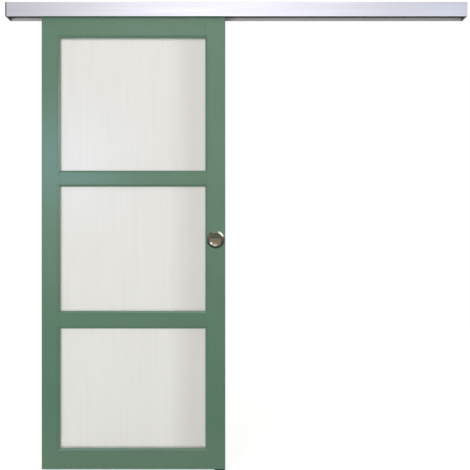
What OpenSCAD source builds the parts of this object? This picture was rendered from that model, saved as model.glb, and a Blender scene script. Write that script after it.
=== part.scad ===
// Glazed sliding door that mounts on a wall. A painted leaf with three stacked panes of frosted glass
// hangs by two four-wheeled trolleys in an aluminium track, and a fascia hides the track.
// X runs along the wall, Y points into the wall and Z is up. The origin is the centre of the
// track's back face, which lies on the wall. The leaf is drawn parked at the left.

/* [Leaf] */
// Clear width of the panes between the glazing beads
pane_w = 658; // [560:1:760]
// Face width of the stile on the parked side
left_stile_w = 82; // [70:1:94]
// Face width of the stile that holds the pulls
right_stile_w = 90; // [87:1:94]
// Height of the bottom rail
bottom_rail_h = 92; // [82:1:160]
// Clear height of the lower pane
lower_pane_h = 543; // [420:1:640]
// Height of the rail between the lower and the middle pane
lower_mid_rail_h = 79; // [68:1:120]
// Clear height of the middle pane
middle_pane_h = 564; // [480:1:660]
// Height of the rail between the middle and the upper pane
upper_mid_rail_h = 72; // [68:1:120]
// Clear height of the upper pane
upper_pane_h = 601; // [480:1:700]
// Height of the top rail
top_rail_h = 99; // [85:1:160]
// Thickness of the leaf
leaf_t = 40; // [36:1:46]
// Radius of the eased edges of the wood
arris_r = 1; // [0.5:0.1:3]
// Space from the back of the leaf to the wall
wall_gap = 16; // [12:1:30]
// Space under the leaf
floor_gap = 8; // [6:1:14]

/* [Glazing] */
// Width of the rebate round each pane
rebate_w = 11; // [8:0.5:13]
// Thickness of the glass
glass_t = 4; // [3:1:6]
// Depth of the glass behind the face of the leaf
glass_setback = 10; // [9:0.5:17]
// Free space between the glass edge and the rebate
glass_gap = 3; // [2:0.5:4]
// Thickness of the tape behind the glass
tape_t = 2; // [1:0.5:3]
// Distance of the tape from the sight line
tape_setback = 1; // [0.5:0.5:2]
// Width of the flat front edge of a glazing bead
bead_flat = 2.5; // [1.5:0.1:5]
// Thickness of a glazing bead at the sight line
bead_edge = 5; // [1.5:0.1:6]
// Depth of the bead front behind the face of the leaf
bead_recess = 0.8; // [0.3:0.1:2]
// Length of a setting block under the glass
setting_block_len = 60; // [30:1:100]
// Distance of a setting block from the side of the pane
setting_block_inset = 120; // [40:1:180]

/* [Frame dowels] */
// Diameter of a dowel
dowel_d = 10; // [6:0.5:12]
// Length of a dowel
dowel_len = 80; // [50:1:100]
// Distance between the two dowels of a joint
dowel_pitch = 30; // [20:1:32]
// Free space round a dowel
dowel_clear = 0.05; // [0.02:0.01:0.2]
// Free space past each end of a dowel
dowel_end_gap = 1; // [0.5:0.1:3]

/* [Flush pulls] */
// Diameter of the rim of a pull
pull_flange_d = 80; // [72:1:82]
// Outer diameter of the cup of a pull
pull_cup_d = 64; // [56:1:67]
// Depth of the straight side of the cup below the face of the leaf
pull_side_h = 3; // [2:0.5:5]
// Depth of the dished floor below the side
pull_dish = 9; // [4:0.5:10]
// Wall thickness of the cup
pull_wall = 1.2; // [0.8:0.1:2]
// Height of the crest of the rim
pull_crest_h = 3.2; // [2:0.1:4]
// Width of the flat crest of the rim
pull_crest_w = 1.2; // [0.8:0.1:2]
// Height of the outer edge of the rim
pull_edge_h = 0.8; // [0.5:0.1:1.5]
// Wood left between a pull and the glazing rebate
pull_margin = 4; // [2:0.5:6]
// Height of the pulls above the bottom of the leaf
pull_height = 1038; // [900:1:1150]
// Free space round the cup of a pull
pull_clear = 0.1; // [0.05:0.05:0.5]

/* [Track] */
// Length of the track without its end caps
track_len = 2068; // [1900:1:2400]
// Thickness of the wall flange
flange_t = 3; // [2:0.1:5]
// Height of the flange below the channel
heel_h = 17; // [11:1:24]
// Height of the flange above the channel, where the wall screws go
screw_strip_h = 15; // [12:1:24]
// Thickness of the channel walls
channel_wall = 2.5; // [1.8:0.1:4]
// Thickness of the lips that carry the wheels
lip_t = 3; // [2:0.1:5]
// Width of the slot between the lips
slot_w = 12; // [11:0.5:14]
// Height of the web behind the channel above the underside of the channel
web_rise = 12; // [6:0.5:14]
// Diameter of the wall screw holes
screw_hole_d = 5.5; // [4:0.1:7]
// Number of wall screw holes
screw_hole_count = 6; // [4:2:10]
// Distance of the outer wall screw holes from the track ends
screw_hole_inset = 64; // [20:1:150]

/* [Fascia] */
// Thickness of the fascia sheet
fascia_t = 2; // [1.5:0.1:3]
// Space between the face of the leaf and the fascia
fascia_clear = 12; // [9:0.5:20]
// Radius of the fascia edges
fascia_edge_r = 0.7; // [0.2:0.1:0.7]
// Length of a fascia clip
clip_len = 25; // [15:1:60]
// Height of a fascia clip
clip_h = 18; // [14:1:24]
// Number of fascia clips
clip_count = 5; // [3:1:9]
// Distance of the outer clips from the track ends
clip_inset = 120; // [30:1:250]
// Depth of the dovetail ribs that hold the clips
dovetail_depth = 3; // [2:0.1:3.5]
// Width of a dovetail rib at its root
dovetail_root = 6; // [4:0.1:7]
// Width of a dovetail rib at its tip
dovetail_tip = 9; // [7.5:0.1:10]
// Free space between a clip and its ribs
clip_clear = 0.1; // [0.05:0.05:0.3]

/* [End caps] */
// Thickness of an end cap
cap_t = 6; // [2:0.1:10]
// Length of the plug of an end cap
plug_len = 14; // [8:1:30]
// Wall thickness of the plug
plug_wall = 2; // [1.2:0.1:3]
// Free space round the plug
plug_clear = 0.2; // [0.1:0.05:0.5]

/* [Trolleys] */
// Distance of the trolleys from the leaf edges
hanger_inset = 140; // [140:1:200]
// Diameter of a wheel
wheel_d = 20; // [17:0.5:22]
// Width of the tread of a wheel
wheel_w = 7.6; // [6:0.1:9]
// Chamfer of the tread
wheel_chamfer = 0.6; // [0.2:0.1:1.2]
// Height of the wheel hub beyond the tread
hub_proud = 0.9; // [0.4:0.1:1.5]
// Diameter of the wheel hub
hub_d = 9.6; // [8:0.1:10.5]
// Thickness of the rim of a wheel
rim_t = 2; // [1.2:0.1:2.4]
// Depth of the recess between hub and rim
web_recess = 1.8; // [0.5:0.1:2.4]
// Free space under a wheel
roll_gap = 0.3; // [0.1:0.05:0.5]
// Space over a wheel
wheel_top_gap = 4.2; // [2:0.1:8]
// Distance between the axles of a trolley
wheelbase = 42; // [41:1:60]
// Diameter of an axle
axle_d = 5; // [4:0.1:6]
// Free space between axle and wheel
axle_clear = 0.05; // [0.02:0.01:0.1]
// Diameter of an axle head
axle_head_d = 8; // [7:0.1:10]
// Thickness of an axle head
axle_head_t = 1.2; // [0.8:0.1:2]
// Free space beside a wheel hub
hub_gap = 0.3; // [0.1:0.05:0.6]
// Free space between the axle heads and the channel
channel_side_gap = 1.3; // [0.8:0.1:3]
// Thickness of the trolley block
trolley_t = 10; // [8:0.5:11]
// Reach of the trolley block past the wheels
trolley_nose = 3; // [1:0.5:10]
// Height of the trolley block above and below the axles
trolley_half_h = 7; // [5:0.1:8]
// Diameter of the boss round the hanger bolt
boss_d = 18; // [13:0.5:18]
// Length of a guide lug in the slot of the track
lug_len = 16; // [8:1:16]
// Free space between a guide lug and the slot
lug_gap = 1.25; // [0.5:0.05:2]

/* [Hangers] */
// Diameter of the hanger bolt
bolt_d = 8; // [6:0.5:8]
// Width across the flats of the bolt head and the nut
hex_af = 13; // [10:0.5:14]
// Height of the bolt head
bolt_head_h = 5.3; // [4:0.1:7]
// Free space round the bolt
bolt_clear = 0.1; // [0.05:0.05:0.3]
// Thickness of the lock nut
nut_t = 4; // [3:0.1:5]
// Space between the nut and the track
nut_gap = 2; // [1:0.1:5]
// Length of a hanger plate
plate_len = 90; // [84:1:90]
// Width of a hanger plate
plate_w = 26; // [24:0.5:32]
// Thickness of a hanger plate
plate_t = 4; // [3:0.1:5]
// Radius of the corners of a hanger plate
plate_corner_r = 3; // [1:0.1:4]
// Diameter of the pocket for the bolt head
pocket_d = 20; // [18:0.5:24]
// Depth of the pocket below the bolt head
pocket_room = 8; // [2:0.5:12]
// Distance of the plate screws from the ends of the plate
plate_screw_inset = 13; // [8:0.5:18]
// Distance of the plate screws from the sides of the plate
plate_screw_edge = 6; // [5:0.1:7]
// Diameter of a plate screw
plate_screw_d = 4; // [3:0.1:5]
// Diameter of a plate screw head
plate_screw_head_d = 8; // [7:0.1:9]
// Height of a plate screw head
plate_screw_head_h = 2; // [1.5:0.1:2.5]
// Depth of a plate screw in the wood
plate_screw_bite = 19; // [10:0.5:20]
// Free space round a plate screw
plate_screw_clear = 0.05; // [0.02:0.01:0.2]

/* [Stops] */
// Space from the left track end to the parked leaf
park_offset = 154; // [20:1:200]
// Length of a stop
stop_len = 36; // [24:1:60]
// Height of a stop
stop_h = 20; // [16:0.5:21]
// Free space beside a stop in the channel
stop_gap = 1.5; // [0.3:0.1:3]
// Thickness of a rubber buffer
buffer_t = 6; // [4:0.5:12]
// Diameter of a rubber buffer
buffer_d = 12; // [8:0.5:14]
// Diameter of the stem of a buffer
buffer_stem_d = 5; // [3:0.5:6]
// Length of the stem of a buffer
buffer_stem_len = 8; // [4:0.5:10]
// Space between a buffer and the trolley at the end of its travel
stop_play = 0.3; // [0.1:0.05:1]
// Diameter of the set screw of a stop
set_screw_d = 6; // [4:0.5:8]
// Width across the flats of the set screw socket
set_screw_socket = 3; // [2:0.5:4]
// Depth of the set screw socket
set_screw_socket_depth = 3.5; // [2:0.5:6]
// Free space round set screws and buffer stems
stop_clear = 0.05; // [0.02:0.01:0.2]

/* [Floor guide] */
// Width of the groove in the bottom of the leaf
groove_w = 8; // [6:0.5:10]
// Depth of the groove
groove_depth = 18; // [14:1:24]
// Free space beside the fin in the groove
fin_play = 0.5; // [0.2:0.1:0.9]
// Length of the fin
fin_len = 24; // [15:1:26]
// Reach of the fin into the groove
fin_reach = 12; // [8:0.5:13]
// Length of the guide base
guide_len = 48; // [44:1:50]
// Width of the guide base
guide_w = 34; // [24:1:50]
// Thickness of the guide base
guide_t = 3; // [2:0.1:5]
// Radius of the corners of the guide base
guide_corner_r = 6; // [2:0.5:10]
// Distance between the screw holes of the guide
guide_hole_pitch = 34; // [32:1:36]
// Diameter of the screw holes of the guide
guide_hole_d = 4.5; // [3:0.1:6]
// Distance of the guide from the edge of the leaf at either end of the travel
guide_inset = 25; // [16:1:60]

/* [Hidden] */
$fn = 64;
cut = 1;
paint_green = "#688670";
frosted_white = "#e6e5e0";
anodised_silver = "#d4d3dc";
cap_grey = "#59565b";
clip_grey = "#8c8c90";
zinc_grey = "#a9acae";
steel_grey = "#c3c6c8";
nickel = "#827868";
nylon_white = "#e8e6dc";
rubber_black = "#242424";
tape_white = "#e0ded7";
beech = "#c9a877";

// Trolley across the track, from the block outwards
hub_len = wheel_w + 2 * hub_proud;
wheel_y = trolley_t / 2 + hub_gap + hub_len / 2;
axle_half = wheel_y + hub_len / 2 + hub_gap;
channel_w = 2 * (axle_half + axle_head_t + channel_side_gap + channel_wall);
trolley_len = wheelbase + wheel_d + 2 * trolley_nose;

// Leaf and track across the wall
leaf_y1 = -wall_gap;
leaf_y0 = leaf_y1 - leaf_t;
mid_y = (leaf_y0 + leaf_y1) / 2;
channel_y0 = mid_y - channel_w / 2;
channel_y1 = mid_y + channel_w / 2;
fascia_y1 = min(leaf_y0, channel_y0) - fascia_clear;
fascia_y0 = fascia_y1 - fascia_t;
glass_y0 = leaf_y0 + glass_setback;
glass_y1 = glass_y0 + glass_t;
lip_y = glass_y1 + tape_t;
bead_y0 = leaf_y0 + bead_recess;

// Heights of the track
channel_h = lip_t + roll_gap + wheel_d + wheel_top_gap + channel_wall;
flange_h = heel_h + channel_h + screw_strip_h;
flange_z0 = -flange_h / 2;
flange_z1 = flange_h / 2;
channel_z0 = flange_z0 + heel_h;
channel_z1 = channel_z0 + channel_h;
lip_z = channel_z0 + lip_t;
roof_z = channel_z1 - channel_wall;
chamber_z0 = channel_z0 + web_rise + channel_wall;
axle_z = lip_z + roll_gap + wheel_d / 2;
screw_z = channel_z1 + screw_strip_h / 2;
clip_z = (channel_z0 + channel_z1) / 2;
fascia_z0 = flange_z0;
fascia_z1 = flange_z1 + fascia_t;

// Heights of the leaf
leaf_z1 = channel_z0 - plate_t - nut_t - nut_gap;
upper_z1 = leaf_z1 - top_rail_h;
upper_z0 = upper_z1 - upper_pane_h;
middle_z1 = upper_z0 - upper_mid_rail_h;
middle_z0 = middle_z1 - middle_pane_h;
lower_z1 = middle_z0 - lower_mid_rail_h;
lower_z0 = lower_z1 - lower_pane_h;
leaf_z0 = lower_z0 - bottom_rail_h;
floor_z = leaf_z0 - floor_gap;

// Places along the wall
leaf_w = left_stile_w + pane_w + right_stile_w;
track_x0 = -track_len / 2;
track_x1 = track_len / 2;
leaf_x0 = track_x0 + park_offset;
leaf_x1 = leaf_x0 + leaf_w;
sight_x0 = leaf_x0 + left_stile_w;
sight_x1 = leaf_x1 - right_stile_w;
pane_x = (sight_x0 + sight_x1) / 2;
pull_x = sight_x1 + rebate_w + pull_margin + pull_cup_d / 2;
pull_depth = pull_side_h + pull_dish;
pull_z = leaf_z0 + pull_height;
travel = leaf_w - 2 * guide_inset;
guide_x = leaf_x1 - guide_inset;
trolley_x = [leaf_x0 + hanger_inset, leaf_x1 - hanger_inset];
stop_reach = trolley_len / 2 + stop_play + buffer_t;
stop_x = [trolley_x[0] - stop_reach, trolley_x[1] + travel + stop_reach];
screw_pitch = (track_len - 2 * screw_hole_inset) / (screw_hole_count - 1);
clip_pitch = (track_len - 2 * clip_inset) / (clip_count - 1);

// Panes from the top down, each with its lower and upper sight line
pane_names = ["upper", "middle", "lower"];
pane_spans = [[upper_z0, upper_z1], [middle_z0, middle_z1], [lower_z0, lower_z1]];

// Rails from the top down, each with its ends and with what is cut away below and above
rail_names = ["top_rail", "upper_mid_rail", "lower_mid_rail", "bottom_rail"];
rail_spans = [
    [upper_z1, leaf_z1, rebate_w, 0],
    [middle_z1, upper_z0, rebate_w, rebate_w],
    [lower_z1, middle_z0, rebate_w, rebate_w],
    [leaf_z0, lower_z0, groove_depth, rebate_w]
];

// Beads of a pane: name, turn about the pane's centre and whether the bead runs along the width
bead_sides = [["sill", 0, true], ["left", 90, false], ["head", 180, true], ["right", 270, false]];
hands = ["left", "right"];
axle_sides = [-1, 1];
row_names = ["front", "back"];
row_sides = [-1, 1];

// A solid box between two corners
module box(from, to) {
    translate(from) cube(to - from);
}

// A flat rectangle between two corners
module rect(from, to) {
    translate(from) square(to - from);
}

// A flat rectangle between two corners, with round corners
module eased_rect(from, to, r) {
    rect([from.x + r, from.y], [to.x - r, to.y]);
    rect([from.x, from.y + r], [to.x, to.y - r]);
    for (x = [from.x + r, to.x - r])
        for (y = [from.y + r, to.y - r])
            translate([x, y]) circle(r);
}

// A profile drawn in Y and Z, extruded along X
module along_x(from, to) {
    translate([from, 0, 0]) rotate([90, 0, 90]) linear_extrude(to - from) children();
}

// A profile drawn in X and Z, extruded along Y
module along_y(from, to) {
    translate([0, to, 0]) rotate([90, 0, 0]) linear_extrude(to - from) children();
}

// A profile drawn in X and Y, extruded along Z
module along_z(from, to) {
    translate([0, 0, from]) linear_extrude(to - from) children();
}

// A round bar along X, Y or Z
module rod_x(from, to, d) {
    along_x(from, to) circle(d = d);
}

module rod_y(from, to, d) {
    along_y(from, to) circle(d = d);
}

module rod_z(from, to, d) {
    along_z(from, to) circle(d = d);
}

// A hexagonal bar along Z, sized across its flats
module hex_z(from, to, af) {
    translate([0, 0, from]) cylinder(h = to - from, d = af / cos(30), $fn = 6);
}

// Dovetail rib in Y and Z that stands on the plane at root_y, towards the side given, and is rooted behind it
module dovetail(root_y, side, clear) {
    seat_y = root_y - side * cut;
    tip_y = root_y + side * (dovetail_depth + clear);
    root_half = side * (dovetail_root / 2 + clear);
    tip_half = side * (dovetail_tip / 2 + clear);
    translate([0, clip_z])
        polygon([
            [seat_y, -root_half],
            [root_y, -root_half],
            [tip_y, -tip_half],
            [tip_y, tip_half],
            [root_y, root_half],
            [seat_y, root_half]
        ]);
}

// Extruded section: wall flange, closed chamber, slotted wheel channel and fascia rib
module track_section() {
    difference() {
        union() {
            rect([-flange_t, flange_z0], [0, flange_z1]);
            rect([channel_y0, channel_z0], [channel_y1, channel_z1]);
            rect([channel_y1 - cut, channel_z0 + web_rise], [0, channel_z1]);
        }
        rect([channel_y1, chamber_z0], [-flange_t, roof_z]);
        rect([channel_y0 + channel_wall, lip_z], [channel_y1 - channel_wall, roof_z]);
        rect([mid_y - slot_w / 2, channel_z0 - cut], [mid_y + slot_w / 2, lip_z + cut]);
    }
    dovetail(channel_y0, -1, 0);
}

module wall_track() {
    color(anodised_silver)
        difference() {
            along_x(track_x0, track_x1) track_section();
            for (i = [0 : screw_hole_count - 1])
                translate([track_x0 + screw_hole_inset + i * screw_pitch, 0, screw_z])
                    rod_y(-flange_t - cut, cut, screw_hole_d);
        }
}

// Sheet profile that stands in front of the track and rests on the top of the wall flange
module fascia_section() {
    difference() {
        eased_rect([fascia_y0, fascia_z0], [0, fascia_z1], fascia_edge_r);
        rect([fascia_y1, fascia_z0 - cut], [cut, flange_z1]);
    }
    dovetail(fascia_y1, 1, 0);
}

module fascia() {
    color(anodised_silver) along_x(track_x0, track_x1 + cap_t) fascia_section();
}

// Moulded clips that slide onto the ribs of the track and of the fascia
module fascia_clips() {
    color(clip_grey)
        for (i = [0 : clip_count - 1])
            translate([track_x0 + clip_inset + i * clip_pitch, 0, 0])
                along_x(-clip_len / 2, clip_len / 2)
                    difference() {
                        rect([fascia_y1, clip_z - clip_h / 2], [channel_y0, clip_z + clip_h / 2]);
                        dovetail(channel_y0, -1, clip_clear);
                        dovetail(fascia_y1, 1, clip_clear);
                    }
}

// Hollow plug that fills the closed chamber of the track
module cap_plug(from, to) {
    outer_from = [channel_y1 + plug_clear, chamber_z0 + plug_clear];
    outer_to = [-flange_t - plug_clear, roof_z - plug_clear];
    wall = [plug_wall, plug_wall];
    along_x(from, to)
        difference() {
            rect(outer_from, outer_to);
            rect(outer_from + wall, outer_to - wall);
        }
}

// The left cap closes the track and the end of the fascia
module left_end_cap() {
    color(cap_grey) {
        along_x(track_x0 - cap_t, track_x0)
            eased_rect([fascia_y0, fascia_z0], [0, fascia_z1], fascia_edge_r);
        cap_plug(track_x0, track_x0 + plug_len);
    }
}

// The right cap sits behind the end of the fascia, with a notch for its rib
module right_end_cap() {
    color(cap_grey) {
        along_x(track_x1, track_x1 + cap_t)
            difference() {
                rect([fascia_y1, fascia_z0], [0, flange_z1]);
                dovetail(fascia_y1, 1, clip_clear);
            }
        cap_plug(track_x1 - plug_len, track_x1);
    }
}

// Clamped block on the lips of the channel, with its buffer face at X = 0
module stop_block() {
    half_w = channel_w / 2 - channel_wall - stop_gap;
    lug_half = slot_w / 2 - lug_gap;
    difference() {
        union() {
            along_x(-stop_len, 0)
                rect([mid_y - half_w, lip_z], [mid_y + half_w, lip_z + stop_h]);
            along_x(-stop_len, 0)
                rect([mid_y - lug_half, channel_z0 + cut], [mid_y + lug_half, lip_z + cut]);
        }
        translate([-stop_len / 2, mid_y, 0])
            rod_z(channel_z0, lip_z + stop_h + cut, set_screw_d + 2 * stop_clear);
        translate([0, mid_y, axle_z])
            rod_x(-buffer_stem_len - stop_clear, cut, buffer_stem_d + 2 * stop_clear);
    }
}

// Domed rubber button with a stem that is pressed into the stop
module buffer() {
    dome_r = buffer_d / 2;
    translate([0, mid_y, axle_z])
        rotate([0, 90, 0])
            rotate_extrude() {
                rect([0, -buffer_stem_len], [buffer_stem_d / 2, 0]);
                intersection() {
                    rect([0, 0], [dome_r, buffer_t]);
                    eased_rect([-dome_r, -buffer_t], [dome_r, buffer_t], buffer_t / 2);
                }
            }
}

module left_stop() {
    color(zinc_grey) translate([stop_x[0], 0, 0]) stop_block();
}

module right_stop() {
    color(zinc_grey) translate([stop_x[1], 0, 0]) mirror([1, 0, 0]) stop_block();
}

module left_buffer() {
    color(rubber_black) translate([stop_x[0], 0, 0]) buffer();
}

module right_buffer() {
    color(rubber_black) translate([stop_x[1], 0, 0]) mirror([1, 0, 0]) buffer();
}

// Set screws that press up on the roof of the channel and clamp the stops on its lips
module stop_set_screws() {
    color(steel_grey)
        for (x = [stop_x[0] - stop_len / 2, stop_x[1] + stop_len / 2])
            translate([x, mid_y, 0])
                difference() {
                    rod_z(lip_z, roof_z, set_screw_d);
                    hex_z(lip_z - cut, lip_z + set_screw_socket_depth, set_screw_socket);
                }
}

// Moulded foot on the floor with a fin that runs in the groove of the leaf
module floor_guide() {
    fin_r = groove_w / 2 - fin_play;
    fin_half = fin_len / 2 - fin_r;
    color(cap_grey)
        translate([guide_x, mid_y, 0])
            difference() {
                union() {
                    along_z(floor_z, floor_z + guide_t)
                        eased_rect([-guide_len / 2, -guide_w / 2], [guide_len / 2, guide_w / 2], guide_corner_r);
                    along_z(floor_z, leaf_z0 + fin_reach) {
                        rect([-fin_half, -fin_r], [fin_half, fin_r]);
                        for (x = [-fin_half, fin_half]) translate([x, 0]) circle(fin_r);
                    }
                }
                for (x = [-guide_hole_pitch / 2, guide_hole_pitch / 2])
                    translate([x, 0, 0]) rod_z(floor_z - cut, floor_z + guide_t + cut, guide_hole_d);
            }
}

// Middle height of the wood of a rail, where its dowels go
function rail_core(span) = (span[0] + span[2] + span[1] - span[3]) / 2;

// Runs its children at the axis of every dowel, at the joint line between rail and stile
module at_dowels() {
    for (span = rail_spans)
        for (x = [sight_x0, sight_x1])
            for (dz = [-dowel_pitch / 2, dowel_pitch / 2])
                translate([x, mid_y, rail_core(span) + dz]) children();
}

module dowel_bores() {
    half = dowel_len / 2 + dowel_end_gap;
    at_dowels() rod_x(-half, half, dowel_d + 2 * dowel_clear);
}

// Rebates for the glass, open to the face of the leaf
module glazing_pockets() {
    for (span = pane_spans)
        box([sight_x0 - rebate_w, leaf_y0 - cut, span[0] - rebate_w],
            [sight_x1 + rebate_w, lip_y, span[1] + rebate_w]);
}

module guide_groove() {
    box([leaf_x0 - cut, mid_y - groove_w / 2, leaf_z0 - cut],
        [leaf_x1 + cut, mid_y + groove_w / 2, leaf_z0 + groove_depth]);
}

module pull_bores() {
    depth = pull_depth + pull_wall + pull_clear;
    translate([pull_x, 0, pull_z]) {
        rod_y(leaf_y0 - cut, leaf_y0 + depth, pull_cup_d + 2 * pull_clear);
        rod_y(leaf_y1 - depth, leaf_y1 + cut, pull_cup_d + 2 * pull_clear);
    }
}

// Runs its children at each screw of the two hanger plates
module at_plate_screws() {
    dx = plate_len / 2 - plate_screw_inset;
    dy = plate_w / 2 - plate_screw_edge;
    for (x = trolley_x)
        for (sx = [-dx, dx])
            for (sy = [-dy, dy])
                translate([x + sx, mid_y + sy, 0]) children();
}

module hanger_bores() {
    for (x = trolley_x)
        translate([x, mid_y, 0]) rod_z(leaf_z1 - bolt_head_h - pocket_room, leaf_z1 + cut, pocket_d);
    at_plate_screws()
        rod_z(leaf_z1 - plate_screw_bite - plate_screw_clear, leaf_z1 + cut, plate_screw_d + 2 * plate_screw_clear);
}

// Wooden bar over the whole height of the leaf
module stile(from, to) {
    color(paint_green)
        difference() {
            along_z(leaf_z0, leaf_z1) eased_rect([from, leaf_y0], [to, leaf_y1], arris_r);
            glazing_pockets();
            dowel_bores();
            guide_groove();
            pull_bores();
        }
}

module left_stile() {
    stile(leaf_x0, sight_x0);
}

module right_stile() {
    stile(sight_x1, leaf_x1);
}

// Wooden bar between the stiles
module rail(span) {
    color(paint_green)
        difference() {
            along_x(sight_x0, sight_x1) eased_rect([leaf_y0, span[0]], [leaf_y1, span[1]], arris_r);
            glazing_pockets();
            dowel_bores();
            guide_groove();
            hanger_bores();
        }
}

module frame_dowels() {
    color(beech) at_dowels() rod_x(-dowel_len / 2, dowel_len / 2, dowel_d);
}

module glass(span) {
    cover = rebate_w - glass_gap;
    color(frosted_white)
        box([sight_x0 - cover, glass_y0, span[0] - cover], [sight_x1 + cover, glass_y1, span[1] + cover]);
}

// Soft tape between the back of the glass and the rebate
module glazing_tape(span) {
    cover = rebate_w - glass_gap;
    outer = [cover, cover];
    inner = [tape_setback, tape_setback];
    color(tape_white)
        along_y(glass_y1, lip_y)
            difference() {
                rect([sight_x0, span[0]] - outer, [sight_x1, span[1]] + outer);
                rect([sight_x0, span[0]] - inner, [sight_x1, span[1]] + inner);
            }
}

// Blocks that carry each pane on the rail below it
module setting_blocks() {
    half = setting_block_len / 2;
    color(tape_white)
        for (span = pane_spans)
            for (x = [sight_x0 + setting_block_inset, sight_x1 - setting_block_inset])
                box([x - half, glass_y0, span[0] - rebate_w], [x + half, glass_y1, span[0] - rebate_w + glass_gap]);
}

// Splayed bead of one side of a pane, mitred at both ends. The turn takes the sill to the other sides.
module glazing_bead(span, turn, along_width) {
    width = sight_x1 - sight_x0 + 2 * rebate_w;
    height = span[1] - span[0] + 2 * rebate_w;
    half = (along_width ? width : height) / 2;
    wall = -(along_width ? height : width) / 2;
    sight = wall + rebate_w;
    color(paint_green)
        translate([pane_x, 0, (span[0] + span[1]) / 2])
            rotate([0, turn, 0])
                intersection() {
                    along_x(-half, half)
                        polygon([
                            [glass_y0, wall],
                            [bead_y0, wall],
                            [bead_y0, wall + bead_flat],
                            [glass_y0 - bead_edge, sight],
                            [glass_y0, sight]
                        ]);
                    along_y(leaf_y0, glass_y0)
                        polygon([
                            [-half, wall],
                            [half, wall],
                            [half - rebate_w, sight],
                            [rebate_w - half, sight]
                        ]);
                }
}

// Half section of a pull: a dished cup inside a rim that slopes outwards, on the face of the leaf at 0
module pull_section() {
    cup_r = pull_cup_d / 2;
    inner_r = cup_r - pull_wall;
    flange_r = pull_flange_d / 2;
    dish_r = (inner_r * inner_r + pull_dish * pull_dish) / (2 * pull_dish);
    difference() {
        union() {
            polygon([
                [0, -pull_side_h],
                [cup_r, -pull_side_h],
                [cup_r, 0],
                [flange_r, 0],
                [flange_r, pull_edge_h],
                [inner_r + pull_crest_w, pull_crest_h],
                [0, pull_crest_h]
            ]);
            pull_floor(dish_r, dish_r + pull_wall, cup_r);
        }
        rect([0, -pull_side_h], [inner_r, pull_crest_h + cut]);
        pull_floor(dish_r, dish_r, inner_r);
    }
}

// What lies inside an arc about the centre of the dish, up to half the height of the side
module pull_floor(dish_r, arc_r, reach) {
    intersection() {
        translate([0, dish_r - pull_depth]) circle(arc_r);
        rect([0, -pull_depth - pull_wall], [reach, -pull_side_h / 2]);
    }
}

module front_pull() {
    color(nickel) translate([pull_x, leaf_y0, pull_z]) rotate([90, 0, 0]) rotate_extrude() pull_section();
}

module back_pull() {
    color(nickel) translate([pull_x, leaf_y1, pull_z]) rotate([-90, 0, 0]) rotate_extrude() pull_section();
}

// Countersunk wood screw with its head flush with the top of the hanger plate
module plate_screw(clear) {
    top = leaf_z1 + plate_t;
    head_r = plate_screw_head_d / 2 + clear;
    shank_r = plate_screw_d / 2 + clear;
    translate([0, 0, top - plate_screw_head_h])
        cylinder(h = plate_screw_head_h, r1 = shank_r, r2 = head_r);
    rod_z(leaf_z1 - plate_screw_bite, top - plate_screw_head_h / 2, 2 * shank_r);
}

module hanger_plate_screws() {
    color(steel_grey) at_plate_screws() plate_screw(0);
}

module hanger_plate(x) {
    half = [plate_len / 2, plate_w / 2];
    color(steel_grey)
        difference() {
            translate([x, mid_y, 0])
                along_z(leaf_z1, leaf_z1 + plate_t) eased_rect(-half, half, plate_corner_r);
            translate([x, mid_y, 0])
                rod_z(leaf_z1 - cut, leaf_z1 + plate_t + cut, bolt_d + 2 * bolt_clear);
            at_plate_screws() plate_screw(plate_screw_clear);
        }
}

// Bolt whose head hangs the leaf by its plate and whose shank is screwed into the trolley
module hanger_bolt(x) {
    color(steel_grey)
        translate([x, mid_y, 0]) {
            hex_z(leaf_z1 - bolt_head_h, leaf_z1, hex_af);
            rod_z(leaf_z1 - bolt_head_h / 2, axle_z + trolley_half_h, bolt_d);
        }
}

module hanger_nuts() {
    nut_z = leaf_z1 + plate_t;
    color(steel_grey)
        for (x = trolley_x)
            translate([x, mid_y, 0])
                difference() {
                    hex_z(nut_z, nut_z + nut_t, hex_af);
                    rod_z(nut_z - cut, nut_z + nut_t + cut, bolt_d + 2 * bolt_clear);
                }
}

// Die-cast block between the wheels, with a boss for the bolt and two guide lugs in the slot
module trolley_block(x) {
    half_len = trolley_len / 2;
    lug_half = slot_w / 2 - lug_gap;
    bottom_z = axle_z - trolley_half_h;
    top_z = axle_z + trolley_half_h;
    color(zinc_grey)
        translate([x, mid_y, 0])
            difference() {
                union() {
                    along_y(-trolley_t / 2, trolley_t / 2)
                        eased_rect([-half_len, bottom_z], [half_len, top_z], trolley_half_h - cut);
                    rod_z(bottom_z, top_z, boss_d);
                    for (side = axle_sides)
                        translate([side * wheelbase / 2, 0, 0])
                            box([-lug_len / 2, -lug_half, channel_z0 + cut], [lug_len / 2, lug_half, bottom_z + cut]);
                }
                rod_z(bottom_z - cut, top_z + cut, bolt_d + 2 * bolt_clear);
                for (side = axle_sides)
                    translate([side * wheelbase / 2, 0, axle_z])
                        rod_y(-trolley_t, trolley_t, axle_d + 2 * axle_clear);
            }
}

// Two riveted axles of a trolley
module trolley_axles(x) {
    color(steel_grey)
        for (side = axle_sides)
            translate([x + side * wheelbase / 2, mid_y, axle_z]) {
                rod_y(-axle_half, axle_half, axle_d);
                rod_y(axle_half, axle_half + axle_head_t, axle_head_d);
                rod_y(-axle_half - axle_head_t, -axle_half, axle_head_d);
            }
}

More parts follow.
